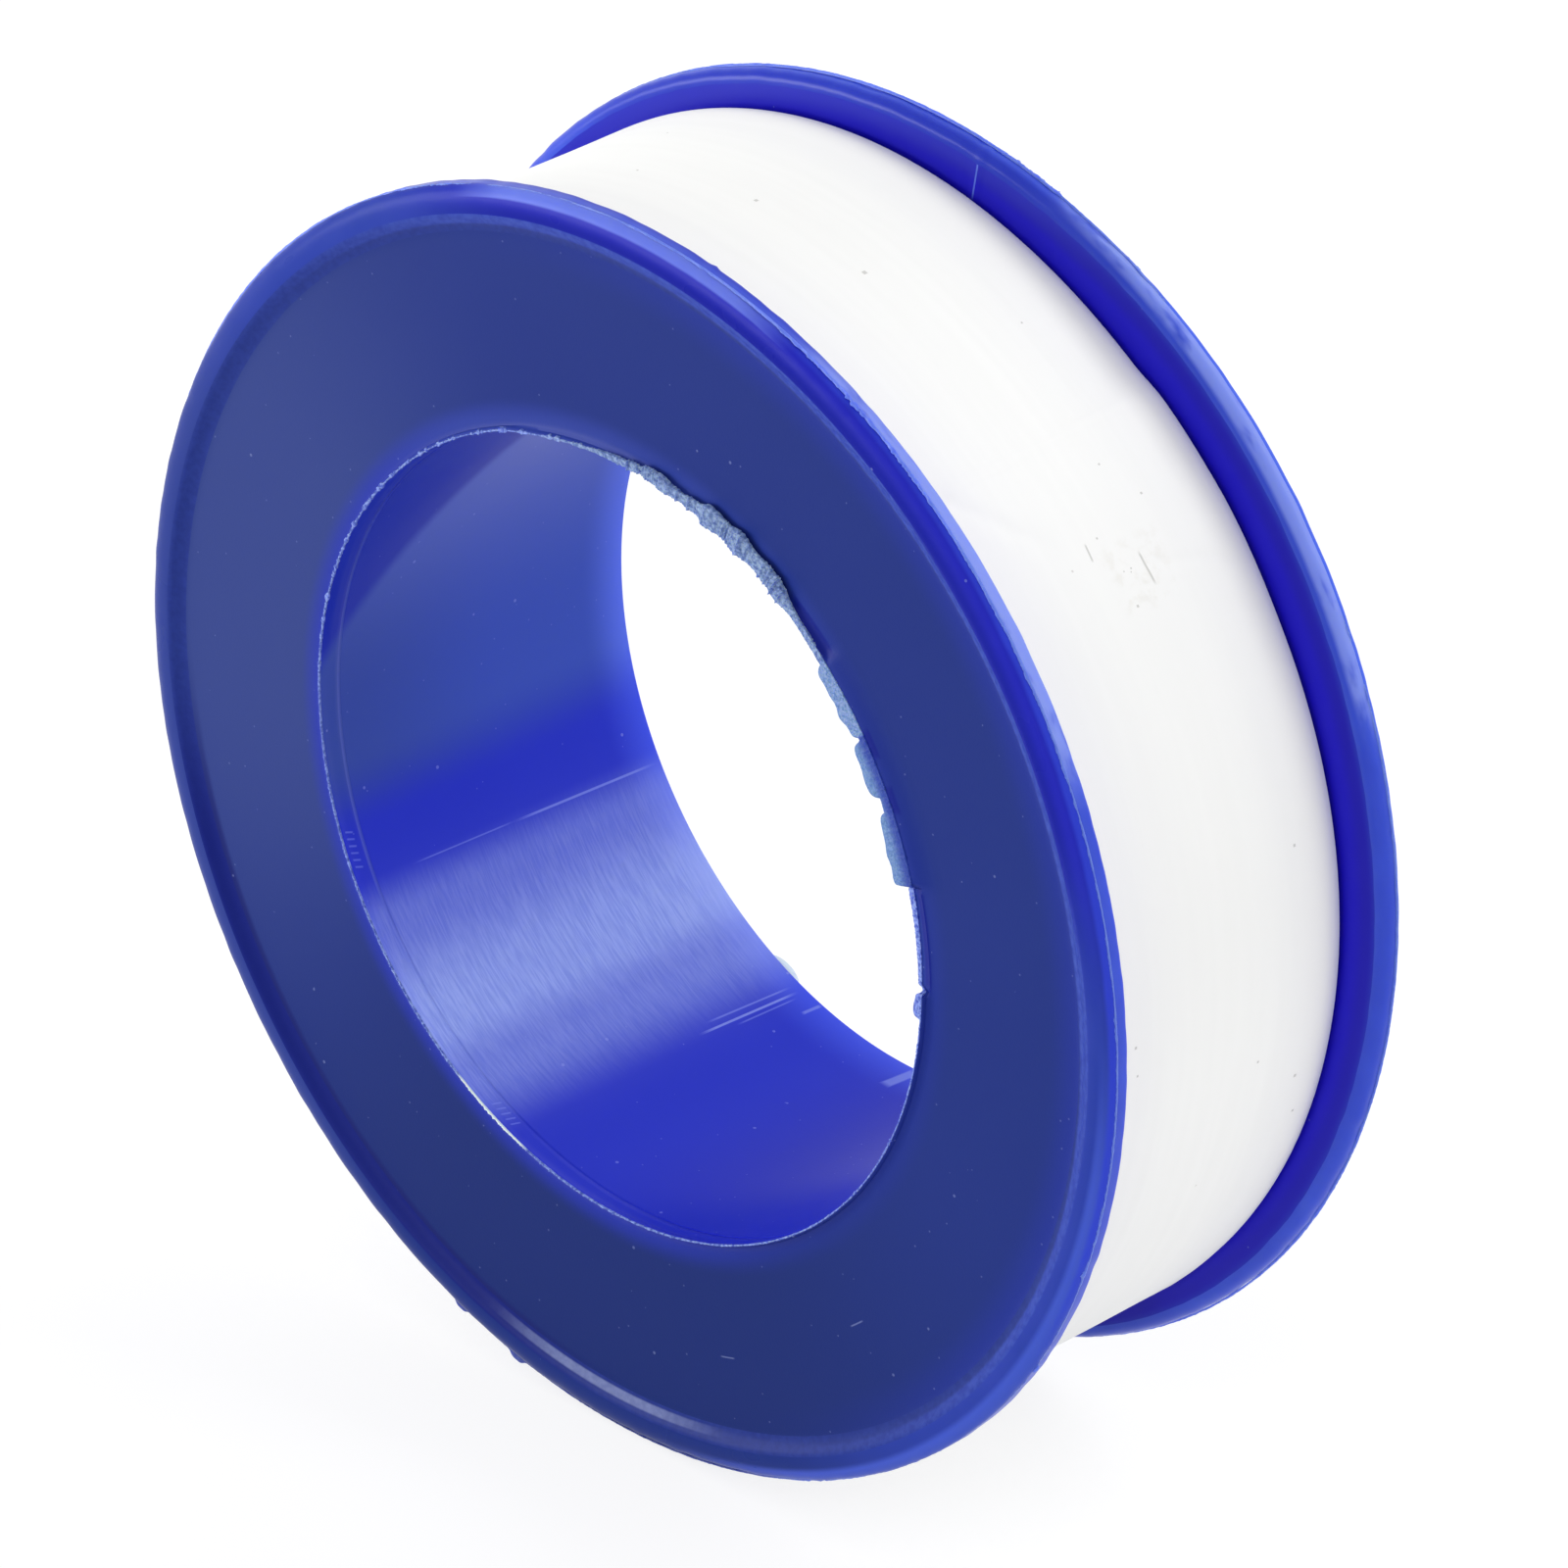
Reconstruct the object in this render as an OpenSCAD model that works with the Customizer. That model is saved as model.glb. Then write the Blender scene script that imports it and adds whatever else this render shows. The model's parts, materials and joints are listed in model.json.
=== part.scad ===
// Thread seal tape roll: a moulded spool with a ribbon of white film wound on its hub.
// Sizes are in millimetres. +Z is up, the spool's axis runs along Y, the front flange
// faces -Y, and the origin is the middle of the bore.

/* [Spool] */
// Diameter of the flanges over the moulding line
flange_d = 70; // [69:0.5:90]
// Diameter of the bore through the hub
bore_d = 44; // [30:0.5:45]
// Wall of the hub round the bore
hub_wall = 1.3; // [0.8:0.1:2]
// Thickness of each flange inside its rim
web_t = 1; // [0.8:0.1:2]
// Depth of each flat face behind its rim
face_recess = 0.45; // [0.2:0.05:0.8]
// Width of the flat top of the rim
rim_land = 0.9; // [0.4:0.1:2]
// Radius of the edge of each rim towards the tape
rim_edge = 0.3; // [0.1:0.05:0.5]
// Height of the moulding line that stands out round each rim
seam_h = 0.12; // [0.05:0.01:0.3]
// Width of the moulding line
seam_w = 0.25; // [0.1:0.05:0.5]
// Width of the trimmed lip round the front of the bore
lip_w = 0.5; // [0.3:0.1:1.2]
// Height of the trimmed lip above the flat face
lip_h = 0.3; // [0.1:0.05:0.4]
// Width of the collar round the rear of the bore
collar_w = 0.8; // [0.5:0.1:1.2]
// Height of the collar above the rear flange's flat face
collar_h = 1.15; // [0.3:0.05:2]

/* [Wound tape] */
// Width of the tape
tape_w = 18; // [10:0.5:30]
// Clearance between the tape's edge and each flange
side_gap = 0.25; // [0.1:0.05:1]
// Thickness of the tight turns on the hub
wound_t = 8.3; // [3:0.05:8.5]
// Clearance between the hub and the first turn
hub_gap = 0.05; // [0.03:0.01:0.3]
// Radius of the soft shoulders at the edges of the winding
shoulder_r = 1.5; // [0.8:0.1:2]

/* [Outer turn] */
// Thickness of the last layers of film, which lie together
film_t = 0.3; // [0.2:0.05:0.5]
// Least clearance between the tight turns and the outer turn
wrap_gap = 0.15; // [0.15:0.05:0.3]
// Drop of the film's edges over the shoulders
edge_drop = 0.4; // [0.2:0.05:0.5]
// Height of the loose stretch at the top of the roll
top_slack = 1.3; // [0:0.05:1.4]
// Height of the loose stretch that runs under the free end
under_slack = 0.4; // [0:0.05:0.4]
// Height of the free end's tip above the tight turns
end_slack = 1.4; // [1.1:0.05:1.6]

/* [Free end] */
// Direction of the tip, from +X up towards +Z, in degrees
tip_deg = -60; // [-80:1:-20]
// Length of the free end that lifts, in degrees round the roll
end_deg = 26; // [16:1:40]
// Slant of the torn edge to each side of its middle, in degrees
tear_deg = 7; // [0:1:8]
// Clearance at the crease between the outer turn and the free end
crease_gap = 0.1; // [0.05:0.05:0.3]

/* [Hidden] */

bore_r = bore_d / 2;
hub_r = bore_r + hub_wall;
rim_t = face_recess + web_t;
rim_round = rim_t / 2;
rim_r = flange_d / 2 - seam_h;
land_outer = rim_r - rim_round;
land_inner = land_outer - rim_land;
seam_root = 0.3;
wound_w = tape_w + 2 * side_gap;
spool_w = wound_w + 2 * rim_t;

core_r = hub_r + wound_t;
wrap_r = core_r + wrap_gap;

// Places along the outer turn, in degrees back from the tip
slack_end = 105;
top_mid = 170;
top_half = 70;
under_start = 235;
under_full = 300;
under_fall = 350;
turn_deg = 357;
turn_end = end_deg + turn_deg;

// Degrees between two sections of the film, and between two of the lifted end
step_deg = 3;
end_step_deg = 1.5;

round_fn = 180;

// Height of the film above the tight turns, at_deg back from the tip
function ramp(t) = let (c = min(max(t, 0), 1)) c * c * (3 - 2 * c);
function slack(at_deg) =
    end_slack * max(0, 1 - max(at_deg, 0) / slack_end)
    + top_slack * (1 - ramp(abs(at_deg - top_mid) / top_half))
    + under_slack * ramp((at_deg - under_start) / (under_full - under_start))
      * (1 - ramp((at_deg - under_fall) / (turn_end - under_fall)));

half_w = tape_w / 2;

// Drop of the film at a distance y from the middle of its width, over the shoulders below
function drop(y) =
    let (over = max(0, abs(y) - (half_w - shoulder_r)) / shoulder_r)
    edge_drop * over * over;

// Stations across the width of the film, with one part of the way down each shoulder
shoulder_mid = shoulder_r / 3;
stations = [
    -half_w,
    -half_w + shoulder_mid,
    -half_w + shoulder_r,
    0,
    half_w - shoulder_r,
    half_w - shoulder_mid,
    half_w
];
last = len(stations) - 1;

// Point of the film at_deg back from the tip, with its inner face at height 0
function film_point(at_deg, y, height) =
    let (r = wrap_r + slack(at_deg) - drop(y) + height, a = tip_deg + at_deg)
    [r * cos(a), y, r * sin(a)];

// One closed section of the film: outer face from front to rear, inner face back again.
// slant_deg turns the section's rear half back and its front half forward.
function film_ring(at_deg, slant_deg) = concat(
    [for (i = [0 : last])
        film_point(at_deg + slant_deg * stations[i] / half_w, stations[i], film_t)],
    [for (i = [last : -1 : 0])
        film_point(at_deg + slant_deg * stations[i] / half_w, stations[i], 0)]
);

// Solid skin over a row of closed sections
module skin(rings) {
    n = len(rings[0]);
    m = len(rings);
    sides = [for (k = [0 : m - 2]) for (i = [0 : n - 1])
        let (a = k * n + i, b = k * n + (i + 1) % n)
        each [[a, a + n, b], [b, a + n, b + n]]];
    half = n / 2;
    // Each cap is a strip between the outer and the inner face
    first_cap = [for (i = [0 : half - 2])
        let (a = i, b = i + 1, c = n - 2 - i, d = n - 1 - i)
        each [[a, b, c], [a, c, d]]];
    shift = (m - 1) * n;
    last_cap = [for (f = first_cap) [f[0] + shift, f[2] + shift, f[1] + shift]];
    polyhedron(points = [for (r = rings) each r], faces = concat(sides, first_cap, last_cap));
}

// Least distance between the free end and the stretch of film that runs under it
end_points = [for (a = [0 : end_step_deg : end_deg]) for (y = stations) film_point(a, y, 0)];
under_points = [for (a = [under_fall : end_step_deg : turn_end]) for (y = stations)
    film_point(a, y, film_t)];
self_gap = min([for (p = end_points) for (q = under_points) norm(p - q)]);
echo("least gap between the free end and the turn under it", self_gap);

// Turns a profile of radius and distance from the front rim about the spool's axis
module turned() {
    rotate([-90, 0, 0])
        translate([0, 0, -spool_w / 2])
            rotate_extrude($fn = round_fn)
                children();
}

// Half section of one flange, with its rim at the start of the width. The rim is round
// in front of the moulding line and nearly square behind it.
module flange_profile() {
    translate([bore_r, face_recess])
        square([rim_r - rim_edge - bore_r, web_t]);
    translate([land_inner, 0])
        square([rim_land, rim_t]);
    translate([land_inner, face_recess])
        circle(r = face_recess, $fn = round_fn);
    translate([land_outer, rim_round])
        circle(r = rim_round, $fn = round_fn);
    translate([land_outer, rim_round])
        square([rim_round, rim_t - rim_edge - rim_round]);
    translate([rim_r - rim_edge, rim_t - rim_edge])
        circle(r = rim_edge, $fn = round_fn);
    translate([rim_r - seam_root, rim_round - seam_w / 2])
        square([seam_root + seam_h, seam_w]);
}

module spool() {
    color([0.17, 0.22, 0.6])
        turned() {
            flange_profile();
            translate([0, spool_w])
                mirror([0, 1])
                    flange_profile();
            translate([bore_r, face_recess])
                square([hub_wall, spool_w - 2 * face_recess]);
            translate([bore_r, face_recess - lip_h])
                square([lip_w, lip_h + web_t]);
            translate([bore_r, spool_w - rim_t])
                square([collar_w, web_t + collar_h]);
        }
}

module tape_core() {
    inner = hub_r + hub_gap;
    start = rim_t + side_gap;
    color([0.95, 0.95, 0.96])
        turned() {
            translate([inner, start])
                square([core_r - shoulder_r - inner, tape_w]);
            translate([inner, start + shoulder_r])
                square([core_r - inner, tape_w - 2 * shoulder_r]);
            for (y = [start + shoulder_r, start + tape_w - shoulder_r])
                translate([core_r - shoulder_r, y])
                    circle(r = shoulder_r, $fn = round_fn);
        }
}

module outer_turn() {
    steps = ceil(turn_deg / step_deg);
    color([0.98, 0.98, 0.98])
        skin([for (k = [0 : steps])
            film_ring(end_deg + turn_deg * k / steps, 0)]);
}

module tape_end() {
    root_deg = end_deg - crease_gap / wrap_r * 180 / PI;
    steps = ceil(end_deg / end_step_deg);
    color([0.98, 0.98, 0.98])
        skin([for (k = [0 : steps])
            film_ring(root_deg * k / steps, tear_deg * (1 - k / steps))]);
}

spool();
tape_core();
outer_turn();
tape_end();
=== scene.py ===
"""Thread seal tape roll: detailed meshes, materials, light and camera, in metres."""
import json
import math

import bmesh
import bpy
import numpy as np
from mathutils import Matrix, Vector


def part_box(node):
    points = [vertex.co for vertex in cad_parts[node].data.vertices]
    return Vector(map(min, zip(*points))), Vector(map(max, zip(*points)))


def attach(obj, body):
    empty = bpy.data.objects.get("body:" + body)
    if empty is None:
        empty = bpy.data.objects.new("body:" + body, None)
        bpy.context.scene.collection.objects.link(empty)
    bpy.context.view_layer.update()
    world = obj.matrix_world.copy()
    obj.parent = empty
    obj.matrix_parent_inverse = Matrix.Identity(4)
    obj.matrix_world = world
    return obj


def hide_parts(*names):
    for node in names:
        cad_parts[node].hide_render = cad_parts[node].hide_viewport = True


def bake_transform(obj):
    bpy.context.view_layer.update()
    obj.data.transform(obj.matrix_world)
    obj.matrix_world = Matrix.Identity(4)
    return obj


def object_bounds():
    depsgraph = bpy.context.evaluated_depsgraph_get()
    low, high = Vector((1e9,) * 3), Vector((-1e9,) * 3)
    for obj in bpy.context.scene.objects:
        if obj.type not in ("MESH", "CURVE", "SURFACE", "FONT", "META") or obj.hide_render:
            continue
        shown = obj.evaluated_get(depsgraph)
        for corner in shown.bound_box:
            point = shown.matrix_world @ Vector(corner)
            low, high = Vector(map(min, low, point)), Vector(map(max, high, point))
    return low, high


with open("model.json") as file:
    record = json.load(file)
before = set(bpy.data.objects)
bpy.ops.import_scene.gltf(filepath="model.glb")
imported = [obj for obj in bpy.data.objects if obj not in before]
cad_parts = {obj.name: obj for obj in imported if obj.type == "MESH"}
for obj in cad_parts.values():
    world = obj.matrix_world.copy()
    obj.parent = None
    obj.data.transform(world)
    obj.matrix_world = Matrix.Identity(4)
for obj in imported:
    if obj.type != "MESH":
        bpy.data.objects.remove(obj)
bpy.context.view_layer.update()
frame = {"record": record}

# Lengths are in millimetres up to the point where a mesh or a node takes them. Angles are in
# degrees round the axis, from +X up towards +Z.
MM = 0.001
spool_low, spool_high = (np.array(corner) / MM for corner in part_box("spool"))
core_high = np.array(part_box("tape_core")[1]) / MM
mounts = {mount["name"]: mount for mount in frame["record"]["mounts"]}
joints = {joint["name"]: joint for joint in frame["record"]["behaviour"]["joints"]}

# The spool: radii, thicknesses, and distances along Y from its middle
BORE_R = mounts["bore"]["dims"]["r_mm"]
HUB_WALL = 1.3
HUB_R = BORE_R + HUB_WALL
FLANGE_R = spool_high[2]
SEAM_H = 0.12
RIM_R = FLANGE_R - SEAM_H
RIM_Y = -spool_low[1]
RIM_T = 1.45
WEB_T = 1.0
RECESS = RIM_T - WEB_T
INNER_Y = RIM_Y - RIM_T
FACE_Y = RIM_Y - RECESS
# Depth of the moulding line behind the front of each rim
SEAM_DEPTH = 0.58
# Radius where each flat face ends, and radius of the highest ring of each rim
FLAT_END = 32.2
BEAD_TOP = 33.75
# Radius of each flange's corner beside the tape
FRONT_CORNER = 0.3
REAR_CORNER = 0.62
COLLAR_Y = spool_high[1]
COLLAR_W = 0.8
LIP_H = 0.3
# Angles at which the mould parted, and the fine ring near the front of the bore
PARTINGS = (79.6, 259.6)
RING_Y = -9.12
# The tight turns
CORE_R = core_high[2]
TAPE_HALF = core_high[1]

# Arc of the front lip that is cut away, and how softly it ends
NOTCH = (0.2, 14.6, 0.6)
SHELF_DROP = 0.12
# How far outside the bore's radius the lip's inner edge lies round the turn, as (angle, mm)
LIP_SHIFT = [
    (0, -0.1), (0.4, -0.5), (14.4, -0.42), (14.8, -0.1), (60, 0), (95, -0.12), (104, -0.08), (111, 0.08),
    (150, 0.1), (166, 0.08), (182, -0.05), (215, -0.15), (260, -0.15), (340, -0.12),
]
# Arc where the lip slopes softly to the face, beside the tabs
SOFT_LIP = (16, 46, 2.0)

# Steps round the turn in the spool and the tight turns, and in the fine trims along edges
SPOOL_STEPS = 720
WOUND_STEPS = 360
EDGE_STEPS = 2160


# Small helpers for shapes


def smooth(low, high, value):
    """0 below low, 1 above high, with a smooth rise between."""
    t = np.clip((value - low) / (high - low), 0, 1)
    return t * t * (3 - 2 * t)


def round_turn(steps):
    """Angles of the steps of a whole turn."""
    return np.arange(steps) * 360 / steps


def turn_gap(angles, centre):
    """Signed difference of angles from centre, in degrees from -180 to 180."""
    return (angles - centre + 180) % 360 - 180


def stretch(angles, start, end, soft):
    """1 on the arc from start up to end, falling to 0 over soft degrees outside it."""
    half = (end - start) / 2
    return 1 - smooth(half, half + soft, np.abs(turn_gap(angles, start + half)))


def ripple(angles, seed, low, high, fall=0.5):
    """A random wave round the axis, of unit size, with low to high waves in a turn."""
    rng = np.random.default_rng(seed)
    turns = np.radians(angles)
    counts = np.unique(np.geomspace(low, high, 60).round().astype(int))
    total = np.zeros_like(turns)
    power = 0.0
    for count in counts:
        size = (low / count) ** fall
        total += size * np.cos(count * turns + rng.uniform(0, 2 * math.pi))
        power += size * size / 2
    return total / math.sqrt(power)


def hump(angles, centre, half, power):
    """A rounded hump of unit height over half degrees to each side of its centre."""
    share = np.abs(turn_gap(angles, centre)) / half
    return np.sqrt(np.maximum(0, 1 - share ** power))


def along_turn(angles, marks):
    """Values between marks, which are (angle, value) pairs in rising order of angle."""
    places, values = zip(*marks)
    return np.interp(angles, places, values, period=360)


def arc(centre_r, centre_y, radius_r, radius_y, start, end, count):
    """Points of an elliptic arc in the (r, y) plane, angles in degrees from +r to +y."""
    turns = np.radians(np.linspace(start, end, count))
    return [(centre_r + radius_r * math.cos(t), centre_y + radius_y * math.sin(t)) for t in turns]


# Meshes


def new_object(name, data):
    """An object of the scene that holds the given mesh, camera or lamp."""
    thing = bpy.data.objects.new(name, data)
    bpy.context.scene.collection.objects.link(thing)
    return thing


def grid_mesh(name, points, materials, closed=True, face_slots=None, sharp=38):
    """A mesh over a grid of points in millimetres, as rows by columns by 3.

    Each row runs round, and where closed is true the last row joins the first. face_slots has
    the place among the materials of each row of faces. Edges over sharp degrees stay hard.
    """
    rows, columns, _ = points.shape
    row = np.arange(rows if closed else rows - 1)[:, None]
    column = np.arange(columns)[None, :]
    next_row = (row + 1) % rows
    next_column = (column + 1) % columns
    corners = [(row, column), (next_row, column), (next_row, next_column), (row, next_column)]
    faces = np.stack([r * columns + c for r, c in corners], axis=-1).reshape(-1, 4)
    vertices = points.reshape(-1, 3) * MM
    # The faces are turned round if they would enclose a negative volume
    first, second, third, fourth = (vertices[faces[:, k]] for k in range(4))
    volume = np.einsum("ij,ij->", first, np.cross(second, third))
    volume += np.einsum("ij,ij->", first, np.cross(third, fourth))
    if volume < 0:
        faces = faces[:, ::-1]
    mesh = bpy.data.meshes.new(name)
    mesh.from_pydata(vertices.tolist(), [], faces.tolist())
    mesh.polygons.foreach_set("use_smooth", [True] * len(faces))
    if face_slots is not None:
        mesh.polygons.foreach_set("material_index", np.repeat(face_slots, columns))
    mesh.update()
    mesh.set_sharp_from_angle(angle=math.radians(sharp))
    for material in materials:
        mesh.materials.append(material)
    return new_object(name, mesh)


def revolve(radius, offset, angles):
    """Points at a radius, an offset along Y and an angle, as arrays that fit together."""
    turns = np.radians(angles)
    parts = np.broadcast_arrays(radius * np.cos(turns), offset, radius * np.sin(turns))
    return np.stack(parts, axis=-1)


# Shader nodes

Socket = bpy.types.NodeSocket


def fill(node, values):
    """Sets the inputs of a node, or links them where a value is the output of another node."""
    for key, value in values.items():
        if isinstance(value, Socket):
            node.id_data.links.new(value, node.inputs[key])
        else:
            node.inputs[key].default_value = value


def add(tree, kind, values=None, **settings):
    """A new node with its settings and inputs."""
    node = tree.nodes.new(kind)
    for key, value in settings.items():
        setattr(node, key, value)
    fill(node, values or {})
    return node


def calc(operation, *operands):
    """The result of one Math node, in the tree of the sockets among its operands."""
    tree = next(operand.id_data for operand in operands if isinstance(operand, Socket))
    return add(tree, "ShaderNodeMath", dict(enumerate(operands)), operation=operation).outputs[0]


def times(first, *others):
    """The product of its factors."""
    for other in others:
        first = calc("MULTIPLY", first, other)
    return first


def step(value, low, high):
    """0 below low, 1 above high, smooth between, as a node."""
    values = {0: value, 1: low, 2: high, 3: 0.0, 4: 1.0}
    return add(value.id_data, "ShaderNodeMapRange", values, interpolation_type="SMOOTHSTEP").outputs[0]


def inverse(share):
    """1 where the share is 0, and 0 where it is 1."""
    return calc("SUBTRACT", 1.0, share)


def between(share, low, high):
    """The value from low, where the share is 0, to high, where it is 1."""
    return calc("MULTIPLY_ADD", share, high - low, low)


def turn_axes(u, v, cos_part, sin_part):
    """The axes u and v turned so that the first one lies along (cos_part, sin_part)."""
    along = calc("MULTIPLY_ADD", u, cos_part, times(v, sin_part))
    return along, calc("MULTIPLY_ADD", v, cos_part, times(u, -sin_part))


def linear(shade):
    """The linear colour of a shade, which is (red, green, blue) from 0 to 255 or a socket."""
    if isinstance(shade, Socket):
        return shade
    parts = [part / 255 for part in shade]
    return [part / 12.92 if part <= 0.04045 else ((part + 0.055) / 1.055) ** 2.4 for part in parts] + [1]


def mix(factor, first, second):
    """The colour between two shades, the first one where the factor is 0."""
    values = {0: factor, 6: linear(first), 7: linear(second)}
    return add(factor.id_data, "ShaderNodeMix", values, data_type="RGBA").outputs[2]


def spot(first, second):
    """A soft spot where the shares of its two half sizes are both under 1."""
    return inverse(step(calc("MAXIMUM", first, second), 0.6, 1.0))


class Place:
    """Where a shaded point lies on the roll: its axes, radius and angle."""

    def __init__(self, tree):
        self.tree = tree
        self.point = add(tree, "ShaderNodeTexCoord").outputs["Object"]
        parts = add(tree, "ShaderNodeSeparateXYZ", {0: self.point})
        self.x, self.y, self.z = parts.outputs
        squares = [times(part, part) for part in (self.x, self.z)]
        self.radius = calc("SQRT", calc("ADD", *squares))

    def angle_from(self, centre):
        """Signed angle from centre, in degrees."""
        cos_part = math.cos(math.radians(centre))
        sin_part = math.sin(math.radians(centre))
        along, across = turn_axes(self.x, self.z, cos_part, sin_part)
        return times(calc("ARCTAN2", across, along), math.degrees(1))

    def around(self, middle, full, fade):
        """1 within full degrees of the middle angle, falling to 0 at fade degrees."""
        turned = calc("ABSOLUTE", self.angle_from(middle))
        return inverse(step(turned, full, fade))

    def beyond(self, low, high):
        """0 inside the radius low and 1 outside the radius high."""
        return step(self.radius, low * MM, high * MM)

    def behind(self, low, high):
        """0 in front of low and 1 behind high, both along Y."""
        return step(self.y, low * MM, high * MM)

    def aside(self, low, high):
        """0 within low of the middle of the roll's width and 1 beyond high of it."""
        return step(calc("ABSOLUTE", self.y), low * MM, high * MM)

    def patch(self, middle, half_angle, along, centre, half):
        """A soft spot of half_angle degrees to each side of middle, and half to each side of
        centre, along the radius or Y."""
        turned = calc("DIVIDE", calc("ABSOLUTE", self.angle_from(middle)), half_angle)
        across = calc("ABSOLUTE", calc("SUBTRACT", along, centre * MM))
        return spot(turned, calc("DIVIDE", across, half * MM))

    def stroke(self, first, second, radius, width):
        """A straight mark at a radius, its ends as (angle, y), width to each side."""
        middle = ((first[0] + second[0]) / 2, (first[1] + second[1]) / 2)
        mm_per_degree = math.radians(radius)
        run = ((second[0] - first[0]) * mm_per_degree, second[1] - first[1])
        length = math.hypot(*run)
        u = times(self.angle_from(middle[0]), mm_per_degree)
        v = calc("SUBTRACT", calc("DIVIDE", self.y, MM), middle[1])
        along, across = turn_axes(u, v, run[0] / length, run[1] / length)
        along = calc("DIVIDE", calc("ABSOLUTE", along), length / 2)
        return spot(along, calc("DIVIDE", calc("ABSOLUTE", across), width))

    def noise(self, scale, detail=3.0, stretched=(1, 1, 1), roughness=0.55, shift=(0, 0, 0)):
        """Noise of the given scale per metre, with each axis multiplied by stretched."""
        values = {"Vector": self.point, "Scale": stretched, "Location": shift}
        mapped = add(self.tree, "ShaderNodeMapping", values).outputs[0]
        values = {"Vector": mapped, "Scale": scale, "Detail": detail, "Roughness": roughness}
        return add(self.tree, "ShaderNodeTexNoise", values).outputs[0]

    def specks(self, scale, size, share):
        """Sparse round specks: one in each cell, of size cells across, in a share of cells."""
        values = {"Vector": self.point, "Scale": scale}
        cells = add(self.tree, "ShaderNodeTexVoronoi", values)
        near = calc("LESS_THAN", cells.outputs["Distance"], size)
        pick = add(self.tree, "ShaderNodeSeparateColor", {0: cells.outputs["Color"]}).outputs[0]
        return times(near, calc("LESS_THAN", pick, share))


# How light spreads inside each plastic: the shares of red, green and blue, and its reach
BLUE_SPREAD = ((0.08, 0.12, 1.0), 1.2)
WHITE_SPREAD = ((1.0, 0.95, 0.9), 0.4)


class Skin:
    """A material in the making, with its base colour as it is built up."""

    def __init__(self, name):
        self.material = bpy.data.materials.new(name)
        self.material.use_nodes = True
        self.tree = self.material.node_tree
        self.place = Place(self.tree)
        self.base = None

    def tint(self, target, *factors):
        """Turns the base colour towards the target by the product of the factors."""
        self.base = mix(times(*factors), self.base, target)

    def finish(self, roughness, relief=None, specular=0.5, glow=0.0, spread=BLUE_SPREAD):
        """The material, with its relief as (height, depth, strength), and light glowing in it."""
        inputs = {"Base Color": self.base, "Roughness": roughness, "Specular IOR Level": specular}
        if relief is not None:
            height, depth, strength = relief
            values = {"Height": height, "Distance": depth * MM, "Strength": strength}
            inputs["Normal"] = add(self.tree, "ShaderNodeBump", values).outputs[0]
        if glow > 0:
            shares, reach = spread
            inputs["Subsurface Weight"] = glow
            inputs["Subsurface Radius"] = shares
            inputs["Subsurface Scale"] = reach * MM
        fill(self.tree.nodes["Principled BSDF"], inputs)
        return self.material


# Materials of the spool

# Colour of the painted glow where light shows through the plastic
PAINTED_GLOW_BLUE = (30, 46, 160)
DUST = (130, 142, 190)
# Dust as (cells per metre, size in cells, share of cells, strength)
FACE_DUST = [(430, 0.04, 0.6, 0.35), (900, 0.05, 0.8, 0.25)]
BORE_DUST = [(420, 0.04, 0.8, 0.4), (1300, 0.06, 0.6, 0.28)]
# Painted shade in the hollows beside the trimmed edge, as (middle, half angle, distance from the bore,
# half width)
LIP_RECESS_SHADES = [
    (7.4, 8.4, 0.1, 0.3), (51.4, 5.6, 0.3, 0.42), (26.9, 2.2, 0.1, 0.42), (34.6, 2.4, 0.2, 0.3),
]
# Light scratches on the front face, as (middle, half angle, radius), and their half width
FACE_SCRATCHES = [(286, 1.2, 28.35), (309, 1.3, 27.3)]
SCRATCH_HALF = 0.05


def face_material():
    """The satin flat faces, with painted light and shade, deeper blue from painted glow beside the bore
    and the rim, with dust and scratches.
    """
    skin = Skin("spool_face_satin")
    place = skin.place
    cloudy = place.noise(60, 2)
    skin.base = mix(cloudy, (16, 38, 114), (24, 44, 120))
    # Painted light makes it paler to the left, and painted shade makes it deeper below
    skin.tint((44, 60, 124), place.around(168, 14, 62), 0.85)
    skin.tint((12, 35, 102), place.around(268, 22, 72), 0.9)
    # Painted glow of light showing through beside the bore, most at its lower left and also at the top,
    # and beside the rim at the right
    by_bore = inverse(place.beyond(BORE_R + 0.2, HUB_R + 0.5))
    skin.tint(PAINTED_GLOW_BLUE, by_bore, between(place.around(205, 60, 110), 0.25, 0.9))
    skin.tint((46, 64, 150), by_bore, place.around(92, 24, 52), 0.7)
    skin.tint(PAINTED_GLOW_BLUE, place.beyond(FLAT_END - 2.0, FLAT_END + 0.4), place.around(20, 50, 95), 0.38)
    # A line of painted shade along the foot of the crest at the lower left
    shaded_foot = place.beyond(FLAT_END - 0.3, FLAT_END + 0.1)
    skin.tint((10, 22, 98), shaded_foot, place.around(226, 26, 46), 0.85)
    # Painted shade in the hollows beside the lip
    for middle, half_angle, out, half in LIP_RECESS_SHADES:
        recess_shade = place.patch(middle, half_angle, place.radius, BORE_R + out, half)
        skin.tint((10, 24, 124), recess_shade, 0.85)
    for scale, size, share, show in FACE_DUST:
        skin.tint(DUST, place.specks(scale, size, share), show)
    for middle, half_angle, radius in FACE_SCRATCHES:
        skin.tint(DUST, place.patch(middle, half_angle, place.radius, radius, SCRATCH_HALF), 0.4)
    roughness = between(cloudy, 0.38, 0.5)
    return skin.finish(roughness, (place.noise(9000, 2), 0.012, 0.5), specular=0.1, glow=0.1)


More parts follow.
